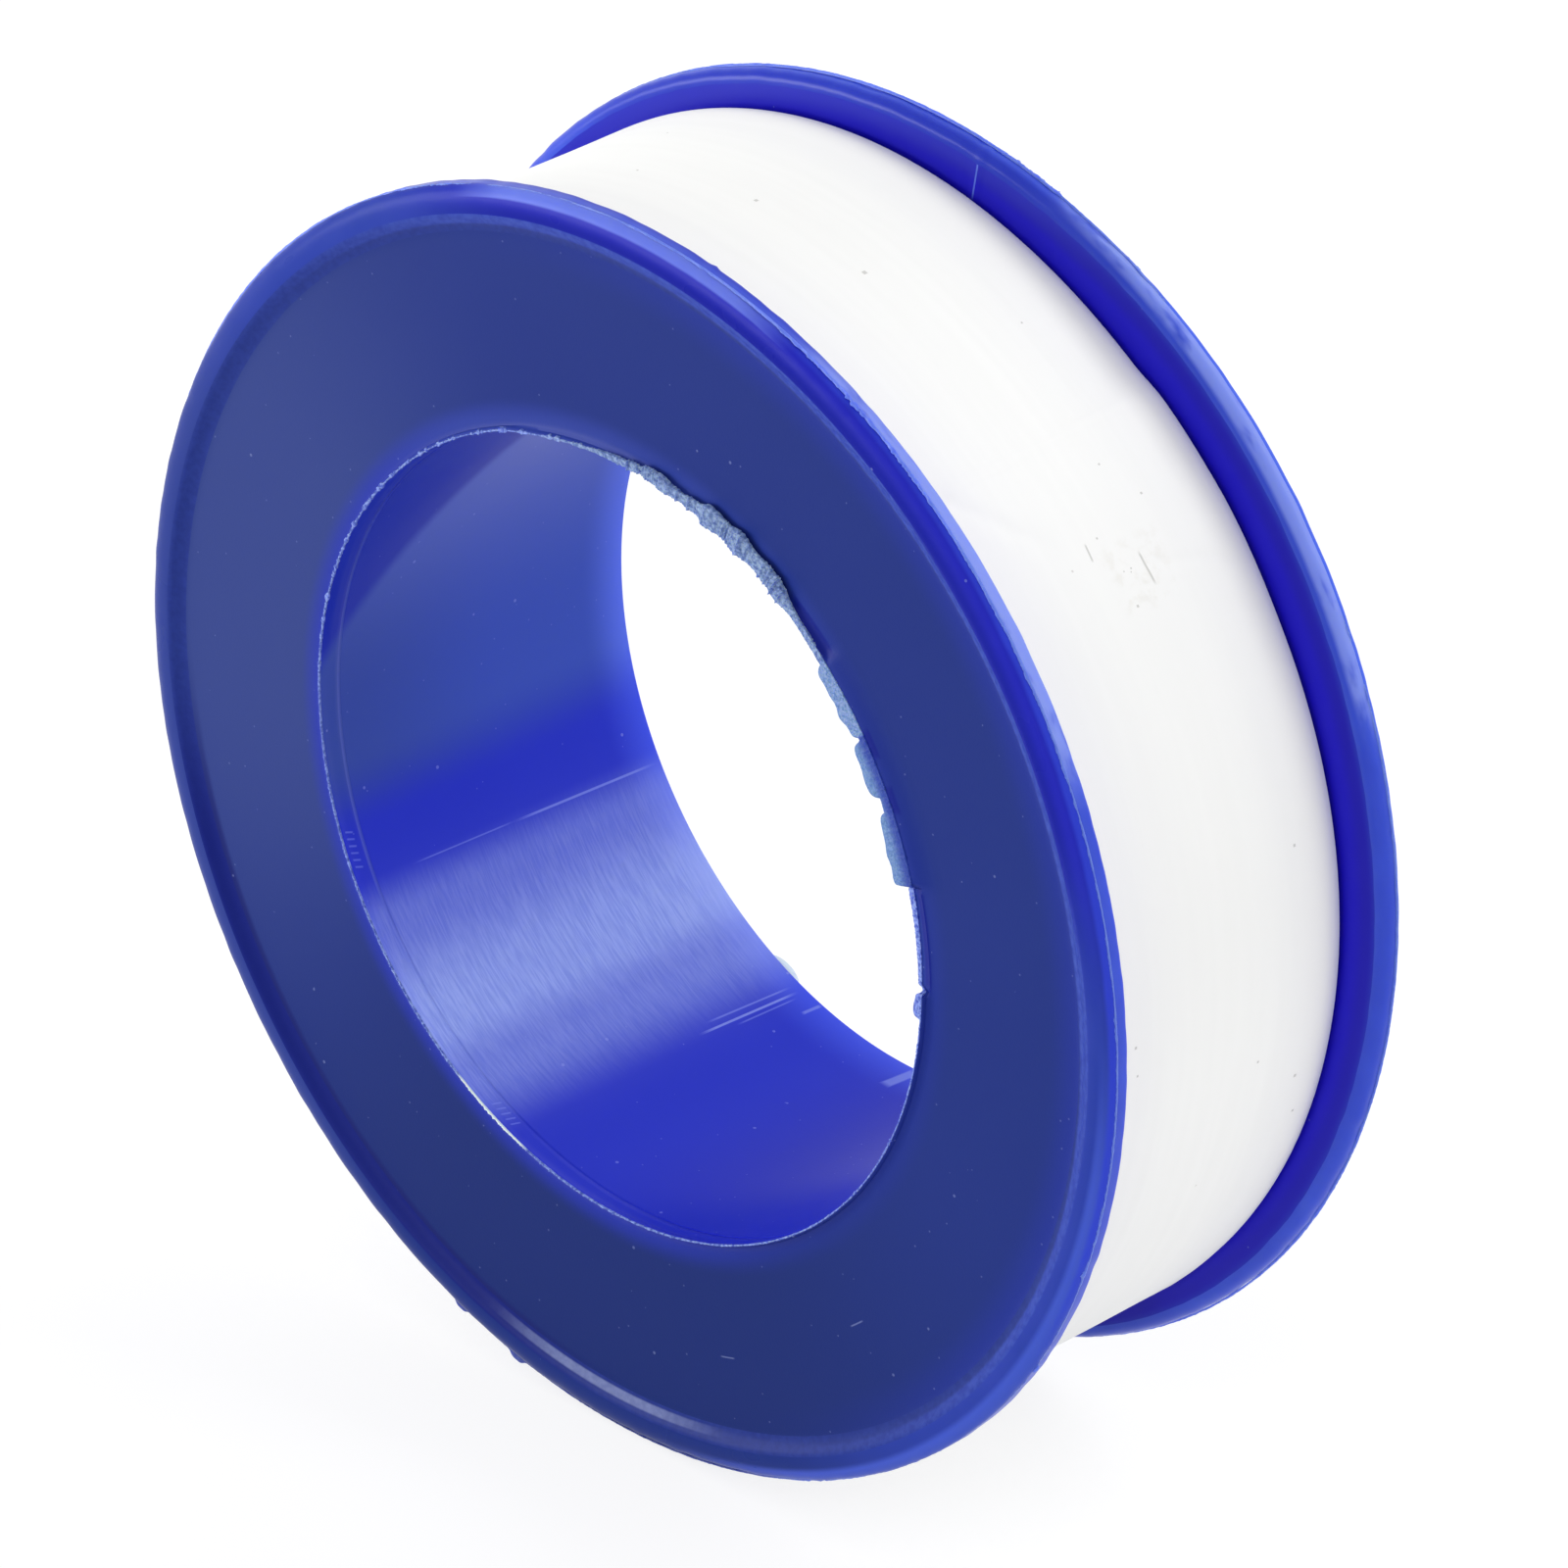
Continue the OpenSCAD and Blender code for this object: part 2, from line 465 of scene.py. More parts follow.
def rim_material():
    """The front of each rim: deep blue from painted glow and glossy at the upper right, duller from
    painted shade to the left and below.
    """
    skin = Skin("spool_rim_gloss")
    place = skin.place
    lines = place.noise(900, 3, (0.12, 1.6, 0.12))
    streaks = step(lines, 0.35, 0.75)
    skin.base = mix(streaks, (36, 56, 150), (44, 62, 158))
    # Painted shade makes it duller to the left and deeper below
    skin.tint((42, 58, 132), place.around(214, 52, 84))
    skin.tint((24, 44, 116), place.around(268, 22, 44), 0.9)
    # Painted light makes the outer side brighter at the lower right
    outer = place.beyond(BEAD_TOP + 0.25, BEAD_TOP + 0.65)
    skin.tint((62, 84, 188), place.around(-40, 26, 48), outer)
    # Painted glow makes it deep at the upper right, with a painted highlight as a bright edge to the right
    # and as a pale stripe at the top
    out = place.beyond(BEAD_TOP - 0.15, BEAD_TOP + 0.75)
    deep = mix(out, (12, 22, 142), (33, 37, 172))
    skin.tint(deep, place.around(62, 38, 60), place.beyond(BEAD_TOP - 0.55, BEAD_TOP - 0.35))
    edge = place.beyond(BEAD_TOP + 0.8, BEAD_TOP + 1.05)
    skin.tint((50, 68, 206), place.around(22, 38, 56), edge, 0.85)
    stripe = place.patch(89, 21, place.radius, BEAD_TOP + 0.99, 0.38)
    skin.tint((104, 122, 218), stripe, 0.9)
    # Painted light makes the rear rim lighter all round
    skin.tint((74, 104, 222), place.behind(0, 1), 0.9)
    skin.tint(DUST, place.specks(500, 0.04, 0.4), 0.4)
    return skin.finish(between(lines, 0.2, 0.4), (lines, 0.02, 0.5), specular=0.06, glow=0.2)


def crest_material():
    """The worn slope between each satin face and its rim, with a painted highlight in one half of the
    turn.
    """
    skin = Skin("spool_rim_crest")
    place = skin.place
    worn = place.noise(4200, 3, (0.6, 1, 0.6))
    grain = step(worn, 0.3, 0.7)
    skin.base = mix(grain, (34, 49, 122), (38, 54, 130))
    # Painted shade darkens the slope at the lower left
    skin.tint((16, 26, 110), place.around(226, 24, 46), 0.85)
    # The painted highlight band starts further out towards its two ends
    turned = calc("ABSOLUTE", place.angle_from(35))
    inset = times(step(turned, 25, 65), 0.45 * MM)
    radius = calc("SUBTRACT", place.radius, inset)
    within = step(radius, (FLAT_END + 0.18) * MM, (FLAT_END + 0.4) * MM)
    light = mix(grain, (42, 60, 152), (56, 76, 166))
    skin.tint(light, place.around(38, 62, 114), within)
    # Its outer side is dark at the right from painted shade and glow, and a painted highlight lies as a
    # silvery line on the crest below
    outer = place.beyond(FLAT_END + 0.94, FLAT_END + 1.08)
    skin.tint((14, 24, 144), place.around(32, 12, 24), outer)
    silvery = place.patch(269, 20, place.radius, FLAT_END + 0.6, 0.27)
    skin.tint((114, 125, 170), silvery, place.around(268, 4, 17), between(grain, 0.7, 0.95))
    return skin.finish(0.36, (worn, 0.01, 0.4), specular=0.05, glow=0.15)


def side_material():
    """The edge of each flange behind its moulding line, with a patchy pale stretch of painted light."""
    skin = Skin("spool_rim_side")
    place = skin.place
    worn = place.noise(500, 3, (0.5, 1, 0.5))
    skin.base = mix(step(worn, 0.3, 0.8), (49, 74, 198), (57, 84, 207))
    # The pale stretch of painted light lies elsewhere on the front flange than on the rear one, broken
    # into patches
    sheen_patches = step(place.noise(900, 3, (0.3, 1, 0.3)), 0.25, 0.5)
    front = calc("LESS_THAN", place.y, 0.0)
    values = {0: front, 2: place.around(45, 22, 28), 3: place.around(47, 17, 24)}
    stretches = add(skin.tree, "ShaderNodeMix", values).outputs[0]
    outer = place.beyond(BEAD_TOP + 0.75, BEAD_TOP + 1.05)
    skin.tint((130, 150, 230), stretches, sheen_patches, outer, 0.85)
    # At the top, painted shade makes the corner beside the tape as deep as the inner face
    corner = inverse(place.aside(INNER_Y + 0.2, INNER_Y + 0.6))
    skin.tint((10, 30, 165), corner, place.around(98, 22, 44), 0.7)
    return skin.finish(0.3, (worn, 0.01, 0.3), specular=0.2, glow=0.4)


def inner_material():
    """The polished inner faces of the flanges, beside the tape, with the mould's parting lines."""
    skin = Skin("spool_inner_face")
    place = skin.place
    skin.base = mix(place.noise(120, 2), (28, 19, 194), (36, 28, 202))
    # Painted light and shade: lighter towards the rim past a darker ring, and softer at the top
    skin.tint((27, 20, 176), place.beyond(FLAT_END + 0.4, FLAT_END + 1.4))
    skin.tint((38, 54, 184), place.beyond(FLAT_END + 1.5, FLAT_END + 2.2))
    skin.tint((16, 14, 164), place.around(112, 20, 46), 0.5)
    outer = place.beyond(FLAT_END + 0.6, FLAT_END + 1.6)
    skin.tint((44, 48, 178), place.around(98, 22, 44), outer, 0.7)
    for parting in PARTINGS:
        line = place.patch(parting, 0.12, place.radius, FLAT_END + 1.4, 1.9)
        skin.tint((110, 140, 232), line, 0.6)
    skin.tint(DUST, place.specks(700, 0.045, 0.3), 0.4)
    return skin.finish(0.3, specular=0.12, glow=0.4)


# Middle of the scuffed patch in the bore, which also carries a painted reflection
SCUFF_ANGLE = 228
# Marks on the bore's wall as (first end, second end, width, strength), each end (angle, y)
BORE_MARKS = [
    ((247.4, 3.6), (248.2, 10.9), 0.09, 0.8), ((246.2, 4.5), (247.0, 10.8), 0.07, 0.5),
    ((248.6, 6.0), (249.0, 10.5), 0.06, 0.4), ((251.6, 9.8), (251.8, 11.3), 0.12, 0.6),
    ((270.2, 8.8), (270.9, 11.3), 0.4, 0.6), ((208.0, -6.6), (208.6, 1.0), 0.05, 0.35),
    ((208.6, 0.5), (209.6, 11.3), 0.08, 0.6),
]
BORE_MARKS += [((200 + k, -10.2), (200.5 + k, -9.6), 0.06, 0.35) for k in range(6)]
BORE_MARKS += [((243 + k, -10.0), (243.5 + k, -9.3), 0.06, 0.35) for k in range(5)]


def bore_material():
    """The bore's wall: deep blue, with painted light above past a shadow edge, and a scuffed patch with a
    painted reflection beside a line along it.
    """
    skin = Skin("spool_bore_wall")
    place = skin.place
    turned = place.angle_from(SCUFF_ANGLE)
    skin.base = mix(place.noise(70, 2), (34, 49, 192), (42, 57, 200))
    # Painted shade makes the upper wall less blue
    upper = inverse(step(turned, -38, -27))
    skin.tint((36, 54, 155), upper, 0.65)
    # Behind a slanting shadow edge the upper wall carries painted light: y falls by 0.347 mm in each
    # degree there
    past = calc("MULTIPLY_ADD", turned, 0.347 * MM, calc("ADD", place.y, 28.96 * MM))
    lit_past_shadow = times(step(past, -0.8 * MM, 0.8 * MM), upper)
    far = mix(place.behind(-9, 3), (62, 86, 163), (67, 94, 189))
    strong = inverse(step(turned, -80, -46))
    skin.tint(mix(strong, far, (94, 116, 202)), lit_past_shadow, 0.75)
    # Painted shade makes the wall deepest past the patch, and a painted glow of light showing through lies
    # at the rear edge
    skin.tint((8, 23, 170), step(turned, 30, 58), 0.82)
    rear = place.behind(8.2, 11.6)
    skin.tint(mix(lit_past_shadow, (72, 94, 234), (100, 126, 244)), rear, 0.75)
    # The patch rises and falls in two steps each
    rise = times(step(turned, -14, -1), 0.55)
    rise = calc("MULTIPLY_ADD", step(turned, -21, -14), 0.45, rise)
    fall = times(step(turned, 2, 9), 0.42)
    fall = calc("MULTIPLY_ADD", step(turned, 10, 21), 0.58, fall)
    patch = times(rise, inverse(fall))
    scratches = place.noise(7800, 3, (0.08, 1, 0.08), 0.6)
    streaks = step(scratches, 0.3, 0.72)
    # The scuffed patch also carries a painted reflection of light, paler than the scuffs alone
    scuffed = mix(streaks, (139, 159, 232), (165, 183, 243))
    skin.tint(mix(times(rear, 0.6), scuffed, (168, 186, 250)), patch, 0.92)
    skin.tint((96, 112, 196), place.patch(180, 40, place.y, RING_Y - 0.04, 0.14), 0.45)
    for first, second, width, show in BORE_MARKS:
        skin.tint((136, 152, 232), place.stroke(first, second, BORE_R, width), show)
    for scale, size, share, show in BORE_DUST:
        skin.tint((150, 162, 230), place.specks(scale, size, share), show)
    return skin.finish(between(patch, 0.28, 0.36), (scratches, 0.01, 0.25), specular=0.08, glow=0.2)


def trimmed_material():
    """The torn plastic where the bore's front edge was trimmed: frosted beside the burr."""
    skin = Skin("trimmed_plastic")
    place = skin.place
    pits = place.noise(3200, 3, (1, 1, 1), 0.6, (0.3, 0, 0))
    grain = step(place.noise(5200, 4), 0.35, 0.65)
    frosted = mix(grain, (84, 108, 158), (136, 158, 196))
    frosted = mix(times(step(pits, 0.54, 0.66), 0.5), frosted, (44, 66, 130))
    skin.base = mix(grain, (62, 82, 172), (134, 154, 224))
    skin.tint(frosted, place.around(70, 24, 40))
    # The flat tabs have pale tips and dark roots, and the uppermost one is paler
    tips = mix(grain, (84, 118, 166), (112, 142, 184))
    root = place.beyond(BORE_R - 0.95, BORE_R - 0.15)
    skin.tint(mix(root, tips, (40, 64, 148)), place.around(25.5, 10.4, 10.8))
    skin.tint(mix(grain, tips, (126, 148, 192)), place.around(41.6, 5.3, 5.6))
    # Painted shade darkens the cut-away shelf below the face
    shelf = place.beyond(BORE_R - 0.44, BORE_R - 0.34)
    skin.tint((16, 32, 140), place.around(7.4, 7.0, 7.4), shelf)
    # The drop behind the bore is clear
    skin.tint((214, 228, 242), place.around(244.5, 6, 8))
    return skin.finish(0.5, (pits, 0.14, 0.8), specular=0.2, glow=0.3)


def flash_material():
    """The thin pale skin of plastic along the moulding line, darkened by painted shade at the lower left.
    """
    skin = Skin("moulding_flash")
    place = skin.place
    frost = place.noise(2500)
    skin.base = mix(frost, (72, 96, 222), (114, 140, 242))
    # Painted shade at the lower left
    skin.tint((34, 48, 110), place.around(240, 42, 60), 0.85)
    return skin.finish(0.35, (frost, 0.02, 0.5), specular=0.25, glow=0.4)


# Materials of the film

# Radius at which the marks on the film are laid out
MARK_R = 33
# Scratches as (first end, second end, width), each end (angle, y), and specks as (angle, y, size)
FILM_SCRATCHES = [
    ((43.5, -0.46), (41.5, -0.58), 0.07), ((41.0, 2.31), (37.3, 2.36), 0.08),
]
FILM_SPECKS = [
    (76.2, -0.4, 0.15), (10.4, 5.9, 0.1), (-9.5, 3.2, 0.09), (-1.2, -6.1, 0.1), (-4.2, -5.9, 0.08),
    (-13.5, 6.4, 0.12), (-18.1, 7.0, 0.1), (-11.1, -6.6, 0.12), (43.4, 0.4, 0.07), (39.7, 1.4, 0.06),
    (39.7, 0.9, 0.05), (39.4, 1.3, 0.05), (36.4, 0.7, 0.09), (45.4, 4.3, 0.08), (49.4, 3.0, 0.07),
    (64.7, 4.7, 0.07), (89.9, -0.4, 0.13), (102.8, -1.5, 0.08), (108.8, 3.9, 0.07),
]
# Distance between the edges of the turns that show at the sides of the winding
TURN_LINES = 0.35


def film_material():
    """Soft white film with faint lines along its length, a few specks and short scratches."""
    skin = Skin("seal_film")
    place = skin.place
    lines = place.noise(1100, 3, (0.05, 1, 0.05))
    streaks = step(lines, 0.25, 0.8)
    skin.base = mix(streaks, (244, 244, 242), (247, 247, 245))
    skin.tint((242, 242, 240), place.noise(90), 0.25)
    # Painted shade makes the film a little darker at the right
    skin.tint((234, 234, 232), place.around(20, 12, 34), 0.45)
    # Painted light makes the film whiter towards its loose edges, beside the flanges
    skin.tint((255, 254, 247), place.aside(5, 9), 0.9)
    for first, second, width in FILM_SCRATCHES:
        skin.tint((140, 138, 130), place.stroke(first, second, MARK_R, width), 0.45)
    for middle, across, size in FILM_SPECKS:
        speck = place.patch(middle, math.degrees(size / MARK_R), place.y, across, size)
        skin.tint((150, 146, 140), speck, 0.5)
    smudge = place.patch(39.0, 4.0, place.y, 1.9, 2.4)
    skin.tint((200, 194, 178), smudge, step(place.noise(1500), 0.45, 0.7), 0.16)
    skin.tint((150, 140, 135), place.specks(170, 0.012, 0.15), 0.35)
    roughness = between(lines, 0.45, 0.55)
    return skin.finish(roughness, (lines, 0.015, 0.5), specular=0.3, glow=0.1, spread=WHITE_SPREAD)


def wound_material():
    """The tight turns: white film, with the edges of its turns showing at the sides."""
    skin = Skin("wound_film")
    turns = times(skin.place.radius, 2 * math.pi / (TURN_LINES * MM))
    shade = calc("MULTIPLY_ADD", calc("SINE", turns), 0.5, 0.5)
    skin.base = mix(shade, (226, 226, 230), (244, 244, 246))
    return skin.finish(0.5, (shade, 0.03, 0.6))


# The spool

# Material slots of the moulding, and the function that makes each one's material
FACE, CREST, RIM, SIDE, INNER, BORE = range(6)
SPOOL_MATERIALS = (
    face_material, crest_material, rim_material, side_material, inner_material, bore_material,
)

# Rise of the crest from the flat face, as (distance outwards, height)
CREST_SLOPE = [(0.25, 0.02), (0.45, 0.07), (0.65, 0.15), (0.85, 0.26), (1.0, 0.35), (1.12, 0.41)]
# Top of the lip from the bore outwards, as (distance, fall)
LIP_TOP = [(0.02, 0.0), (0.06, -0.02), (0.1, 0.0), (0.14, 0.06), (0.18, 0.17), (0.24, 0.25), (0.34, 0.29)]
# Radius of the collar's rounded edges
COLLAR_ROUND = 0.15
# Depth of the fine ring in the bore's wall
RING_DEPTH = 0.05
# How far the rims wander outwards and sideways, and the size of their fine waves
WARP_OUT = 0.05
WARP_SIDE = 0.04
RIM_WAVES = 0.012
# The parting ridges: half width in degrees, and height on the rims and on the inner faces
RIDGE_HALF = 0.35
RIDGE_RIM = 0.07
RIDGE_FACE = 0.06


def flange_section(corner):
    """One flange from its flat face round the rim to the hub, as (r, depth, slot) rows.

    Depth is measured from the top of the rim towards the tape. The corner beside the
    tape is rounded by the given radius.
    """
    rows = [(r, RECESS, FACE) for r in np.linspace(HUB_R, FLAT_END - 0.2, 12)] + [(FLAT_END, RECESS, FACE)]
    rows += [(FLAT_END + out, RECESS - up, CREST) for out, up in CREST_SLOPE]
    rows += [(FLAT_END + 1.25, 0.012, RIM), (FLAT_END + 1.4, 0.0, RIM)]
    rows += [(r, d, RIM) for r, d in arc(BEAD_TOP, SEAM_DEPTH, RIM_R - BEAD_TOP, SEAM_DEPTH, 272, 358, 14)]
    rows += [(RIM_R, SEAM_DEPTH + d, SIDE) for d in (0.05, 0.12)]
    rows += [(r, d, SIDE) for r, d in arc(RIM_R - corner, RIM_T - corner, corner, corner, 4, 86, 10)]
    rows += [(r, RIM_T, INNER) for r in np.linspace(RIM_R - corner - 0.1, 31.0, 8)]
    rows += [(r, RIM_T, INNER) for r in (28.0, 25.5)]
    rows += [(r, d, INNER) for r, d in arc(HUB_R + 0.3, RIM_T + 0.3, 0.3, 0.3, 270, 188, 4)]
    return rows


def collar_rows():
    """The collar from the rear face over its rounded rim to the bore, as (r, y, slot) rows."""
    outer = BORE_R + COLLAR_W
    top = COLLAR_Y - COLLAR_ROUND
    rows = [(outer + 0.25, FACE_Y, FACE), (outer + 0.05, FACE_Y + 0.08, FACE)]
    rows += [(outer, FACE_Y + 0.3, FACE), (outer, top, FACE)]
    for centre, start, end, count, slot in (
        (outer - COLLAR_ROUND, 20, 90, 4, FACE), (BORE_R + COLLAR_ROUND, 95, 180, 5, BORE),
    ):
        rows += [(r, y, slot) for r, y in arc(centre, top, COLLAR_ROUND, COLLAR_ROUND, start, end, count)]
    return rows


def bore_rows():
    """The bore's wall from the rear to the front, with its fine ring, as (r, y, slot) rows."""
    rows = [(BORE_R, y, BORE) for y in np.linspace(COLLAR_Y - 0.8, RING_Y + 0.22, 18)]
    ring = [(0, 0.1), (RING_DEPTH, 0.04), (RING_DEPTH, -0.04), (0, -0.12)]
    rows += [(BORE_R + out, RING_Y + along, BORE) for out, along in ring]
    rows += [(BORE_R, y, BORE) for y in (-9.5, -9.8, -10.1, -10.35, -10.5)]
    return rows


def spool_rows():
    """The whole section as (r, y, slot) rows, from the front lip round to the bore."""
    rows = [(BORE_R + out, -FACE_Y - LIP_H + fall, FACE) for out, fall in LIP_TOP]
    rows += [(BORE_R + out, -FACE_Y, FACE) for out in (0.55, 0.9)]
    rows += [(r, -RIM_Y + depth, slot) for r, depth, slot in flange_section(FRONT_CORNER)]
    rows += [(HUB_R, y, INNER) for y in (-4.0, 0.0, 4.0)]
    # A rear row keeps the slot of the band that follows it on the way back to the bore
    rear = list(reversed(flange_section(REAR_CORNER)))
    slots = [slot for _, _, slot in rear[1:]] + [FACE]
    rows += [(r, RIM_Y - depth, slot) for (r, depth, _), slot in zip(rear, slots)]
    return rows + collar_rows() + bore_rows()


def warp(radius, offset, angles):
    """The moulding's slight warp, and the unevenness of its rims, as new radii and offsets."""
    outward = smooth(BORE_R + 3, RIM_R, radius)
    front = smooth(0, 8, -offset)
    uneven = front * ripple(angles, 3, 2, 5) + (1 - front) * ripple(angles, 5, 2, 5)
    radius = radius + outward * WARP_OUT * uneven
    offset = offset + outward * WARP_SIDE * ripple(angles, 7, 2, 6)
    rim_band = smooth(RIM_R - 1.4, RIM_R - 0.6, radius)
    return radius + rim_band * RIM_WAVES * ripple(angles, 11, 40, 160, 0.3), offset


def part_lines(radius, offset, angles):
    """The ridges across the inner faces and the rims where the mould parted."""
    for parting in PARTINGS:
        ridge = np.exp(-(turn_gap(angles, parting) / RIDGE_HALF) ** 2)
        at_rim = smooth(RIM_R - 0.6, RIM_R - 0.2, radius)
        inner_face = (np.abs(np.abs(offset) - INNER_Y) < 0.25) & (radius > CORE_R)
        radius = radius + RIDGE_RIM * ridge * at_rim
        offset = offset - RIDGE_FACE * ridge * inner_face * np.sign(offset)
    return radius, offset


def trim_lip(radius, offset, angles):
    """Lets the lip wander round the bore and slope softly by the tabs, and cuts the notch."""
    lip = (1 - smooth(BORE_R + 0.5, BORE_R + 0.9, radius)) * (offset < -FACE_Y - 0.05)
    radius = radius + lip * along_turn(angles, LIP_SHIFT)
    out = radius - BORE_R
    near_lip = (out < HUB_WALL - 0.1) & (offset < -FACE_Y + 0.01)
    soft = -FACE_Y - LIP_H * (1 - smooth(0.05, 1.25, out))
    offset = offset + near_lip * stretch(angles, *SOFT_LIP) * (soft - offset)
    shelf = (1 - smooth(BORE_R + 0.25, BORE_R + 0.45, radius)) * (offset < -FACE_Y - 0.05)
    cut = np.maximum(0, -FACE_Y - offset + SHELF_DROP)
    return radius, offset + shelf * stretch(angles, *NOTCH) * cut


def spool():
    """The one-piece moulding, with its slight warp and the notch in its front lip."""
    radius, offset, slots = zip(*spool_rows())
    angles = round_turn(SPOOL_STEPS)
    radius = np.outer(radius, np.ones(SPOOL_STEPS))
    offset = np.outer(offset, np.ones(SPOOL_STEPS))
    for change in (warp, part_lines, trim_lip):
        radius, offset = change(radius, offset, angles)
    materials = [make() for make in SPOOL_MATERIALS]
    return grid_mesh("spool_moulding", revolve(radius, offset, angles), materials, face_slots=slots)


def ring_strip(name, radius, offset, angles, material, sharp=50):
    """A closed ring of plastic whose section changes round the axis."""
    return grid_mesh(name, revolve(radius, offset, angles), [material], sharp=sharp)


# Arc where the flash of the front rim and of the rear rim is torn, and how softly it ends
TORN = {-1: (-60, 110, 20), 1: (50, 76, 5)}
# Nubs on the front rim's flash, as (angle, half width, height)
NUBS = [(249.4, 0.8, 0.24), (256.7, 0.9, 0.3), (328.0, 0.5, 0.16)]


def rim_flash(name, side, seed, material):
    """The ragged skin along the moulding line of one rim, -1 for the front and 1 for the rear."""
    angles = round_turn(EDGE_STEPS)
    middle = side * (RIM_Y - SEAM_DEPTH)
    rag = np.abs(ripple(angles, seed, 25, 700, 0.35))
    torn = smooth(0.6, 2.2, np.abs(ripple(angles, seed + 1, 6, 60))) * stretch(angles, *TORN[side])
    height = 0.05 + 0.03 * np.minimum(rag, 1.6) * (0.5 + torn)
    forward = 0.05 + 0.05 * np.abs(ripple(angles, seed + 2, 60, 900, 0.2)) * (0.5 + torn)
    if side < 0:
        for angle, width, extra in NUBS:
            height = height + extra * np.exp(-(turn_gap(angles, angle) / width) ** 4)
    height = np.minimum(height, SEAM_H + 0.25)
    # The section goes from the root in front of the flash over its top to the root behind it
    root = 0.05
    share = np.array([-1, 0.4, 1, 1, 0.5, -1])[:, None]
    radius = RIM_R - root + np.maximum(0, root + height * share) * (share > 0)
    flat = np.zeros_like(angles)
    y = np.stack([-forward, -forward * 0.8, flat - 0.03, flat + 0.03, flat + 0.07, flat + 0.09])
    return ring_strip(name, radius, middle - side * y, angles, material)


# Width of the trimmed burr towards the bore and away from it, round the front edge
BURR_IN = [
    (0, 0.2), (14.6, 0.36), (46.8, 0.38), (54, 0.26), (68, 0.22), (73, 0.3), (78, 0.18), (86, 0.15),
    (93, 0.1), (104, 0.03), (359, 0.03),
]
BURR_OUT = [
    (0, 0.03), (14, 0.03), (16, 0.1), (46, 0.05), (50, 0.1), (53, 0.15), (56, 0.4), (59, 0.78),
    (62, 0.86), (70, 0.86), (73, 0.7), (76, 0.42), (79, 0.34), (82, 0.58), (84, 0.48), (87, 0.24),
    (91, 0.14), (96, 0.06), (104, 0.03), (359, 0.03),
]
# Flat tabs that stand into the bore, as (middle, half angle, depth)
TABS = [(41.4, 5.5, 0.93), (31.5, 4.1, 1.13), (20.1, 5.6, 1.17), (26.5, 1.5, 0.62), (357.9, 1.9, 0.46)]
# Arc where small curls stand on the edge, and how softly it ends
CURLS = (100, 165, 8.0)


def bore_edge(material):
    """The burr, torn bits and flat tabs that trimming left on the bore's front edge."""
    angles = round_turn(EDGE_STEPS)
    fine = ripple(angles, 21, 150, 900, 0.2)
    lumps = ripple(angles, 22, 30, 140, 0.3)
    curls = stretch(angles, *CURLS) * smooth(0.1, 1.6, ripple(angles, 23, 60, 500, 0.2))
    thick = np.clip(along_turn(angles, BURR_OUT) / 0.6, 0, 1)
    ragged = (0.015 + 0.03 * thick) * np.abs(fine)
    reach = along_turn(angles, BURR_IN) * (1 + 0.2 * thick * lumps) + ragged + 0.08 * curls
    spread = along_turn(angles, BURR_OUT) * (1 + 0.1 * lumps) + ragged + 0.1 * curls
    for middle, half, depth in TABS:
        tab = hump(angles, middle, half, 10)
        uneven = 0.04 * lumps - 0.02 * turn_gap(angles, middle) * (depth > 1)
        reach = np.maximum(reach, tab * (depth + uneven))
    height = 0.02 + 0.02 * np.abs(fine) + thick * (0.1 + 0.05 * lumps + 0.03 * fine) + 0.04 * curls
    # The section goes from the root on the lip over the burr's top and down into the bore
    base = BORE_R + along_turn(angles, LIP_SHIFT)
    radius = [base + spread + 0.02] + [base + spread * share for share in (1, 0.9, 0.3)]
    radius += [base - reach * share for share in (0.3, 0.85, 1, 1, 0.8)] + [base + 0.02]
    flat = np.zeros_like(angles)
    y = np.stack([
        flat + 0.06, -height * 0.3, -height, -height * (1 + 0.12 * fine), -height * (1 - 0.12 * fine),
        -height * 0.9, -height * 0.3, flat + 0.03, flat + 0.06, flat + 0.12,
    ])
    lift = stretch(angles, *NOTCH) * (LIP_H + SHELF_DROP)
    offset = -FACE_Y - LIP_H + lift + y
    return ring_strip("trimmed_bore_edge", np.stack(radius), offset, angles, material, 60)


# The drop's middle and half width round the turn
DROP_ANGLE = 243.8
DROP_HALF = 3.0


def rear_drop(material):
    """A small drop of clear flash behind the rear edge of the bore; elsewhere it is in the collar."""
    angles = round_turn(EDGE_STEPS)
    swell = hump(angles, DROP_ANGLE, DROP_HALF, 2)
    size = 0.1 + 0.42 * swell
    turns = np.radians(round_turn(8))[:, None]
    radius = BORE_R + 0.4 - 0.08 * swell + size * 0.6 * np.cos(turns)
    offset = COLLAR_Y - 0.14 + 0.14 * swell + size * np.sin(turns)
    return ring_strip("rear_drop", radius, offset, angles, material, 80)


# The film

CREASE = joints["end_lift"]["pos_m"]
CREASE_ANGLE = math.degrees(math.atan2(CREASE[2], CREASE[0]))
FILM_T = 0.1
FILM_R = CORE_R + 0.12
# Drop of the film's edges over the shoulders, and the width over which they drop
EDGE_DROP = 0.3
EDGE_RUN = 1.6
# From this angle on towards the tip the film's edges lift, over so many degrees
FLARE_START = -41.6
FLARE_RUN = 9

# Length of the free end, and places in degrees back from its tip
END_DEG = 26
TIP_ANGLE = CREASE_ANGLE - END_DEG
SLACK_END = 105
TOP_MID = 176
TOP_HALF = 66
UNDER_RISE = (235, 300)
UNDER_FALL = (350, 383)
# Where the free end meets the outer turn, where the film goes out of sight, and where it ends
JOIN_DEG = 33
VISIBLE_END = 340
HIDDEN_END = 398
